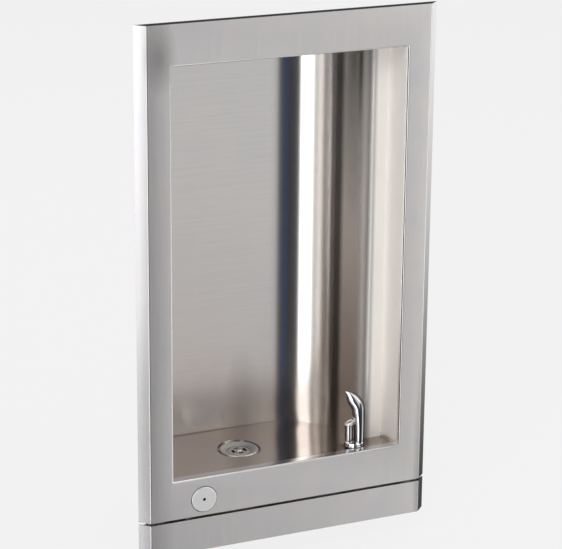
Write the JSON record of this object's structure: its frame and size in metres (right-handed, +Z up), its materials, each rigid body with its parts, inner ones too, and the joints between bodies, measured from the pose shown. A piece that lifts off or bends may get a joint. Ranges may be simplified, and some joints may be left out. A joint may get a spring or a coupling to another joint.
{
  "type": "recessed drinking fountain",
  "caption": "Recessed drinking fountain: bevelled stainless front with access panel, deep recess with a curved wall, basin with strainer, hooded bubbler and push button valve, in a wall frame.",
  "frame": {"origin": "centre of the pattern of four wall screws, on the plane of the finished wall", "axes": "+X right as seen from the front, +Y into the wall, +Z up"},
  "size_m": [0.4572, 0.1697, 0.799],
  "materials": {
    "satin_steel": "satin rolled stainless steel with soft mottling",
    "liner_steel": "bright rolled stainless steel",
    "galvanised": "hot-dip galvanised steel, dull",
    "zinc_fixings": "bright zinc plate",
    "stainless_fixings": "turned stainless steel",
    "turned_steel": "fine turned stainless steel with concentric lines",
    "cast_stainless": "polished cast stainless steel",
    "spring_steel": "drawn stainless wire",
    "chrome": "polished chrome plate",
    "brass": "machined brass",
    "copper": "drawn copper tube",
    "black_rubber": "matt black rubber",
    "fibre": "pressed fibre",
    "grey_plastic": "moulded glass-filled plastic"
  },
  "bodies": {
    "cabinet": {"front_frame": "satin_steel", "recess_wrap": "liner_steel", "recess_ceiling": "liner_steel", "basin_floor": "liner_steel", "access_panel": "satin_steel", "panel_clips": "galvanised", "panel_screws": "stainless_fixings", "wall_rail_left": "galvanised", "wall_rail_right": "galvanised", "wall_rail_top": "galvanised", "wall_rail_bottom": "galvanised", "hanger_bar": "galvanised", "hanger_hooks": "liner_steel", "retainer_brackets": "galvanised", "retaining_screws": "zinc_fixings", "retaining_nuts": "zinc_fixings", "strainer_body": "cast_stainless", "strainer_grate": "cast_stainless", "strainer_screw": "stainless_fixings", "drain_gasket": "black_rubber", "drain_washer": "fibre", "drain_locknut": "brass", "tailpiece": "chrome", "tailpiece_washer": "black_rubber", "tailpiece_nut": "brass", "bubbler_body": "chrome", "bubbler_nozzle": "chrome", "bubbler_gasket": "black_rubber", "bubbler_shank": "brass", "bubbler_washer": "zinc_fixings", "bubbler_locknut": "brass", "shank_nut": "brass", "bubbler_tube": "copper", "button_spring": "spring_steel", "button_sleeve": "grey_plastic", "sleeve_studs": "stainless_fixings", "sleeve_nuts": "stainless_fixings", "valve_body": "brass", "valve_cap": "brass", "outlet_nut": "brass", "inlet_nut": "brass", "supply_tube": "copper", "line_strainer": "brass", "stop_tube": "copper", "stop_body": "chrome", "stop_outlet_nut": "brass", "stop_bonnet": "chrome"},
    "button": {"push_button": "turned_steel", "button_stem": "turned_steel", "valve_disc": "black_rubber"},
    "regulator": {"stream_regulator": "stainless_fixings"},
    "stop": {"stop_stem": "turned_steel"}
  },
  "joints": [
    {"name": "button_press", "type": "slide", "parent": "cabinet", "child": "button", "axis": [0, 1, 0], "range_m": [0, 0.005], "stiffness_N_per_m": 2500, "springref_m": -0.002, "deforming": ["button_spring"]},
    {"name": "regulator_turn", "type": "hinge", "parent": "cabinet", "child": "regulator", "pos_m": [-0.133, 0.032, -0.322], "axis": [0, 0, 1], "range_deg": [-180, 180]},
    {"name": "stop_turn", "type": "hinge", "parent": "cabinet", "child": "stop", "pos_m": [0.03, 0.09, -0.3515], "axis": [0, 1, 0], "range_deg": [0, 90]}
  ]
}
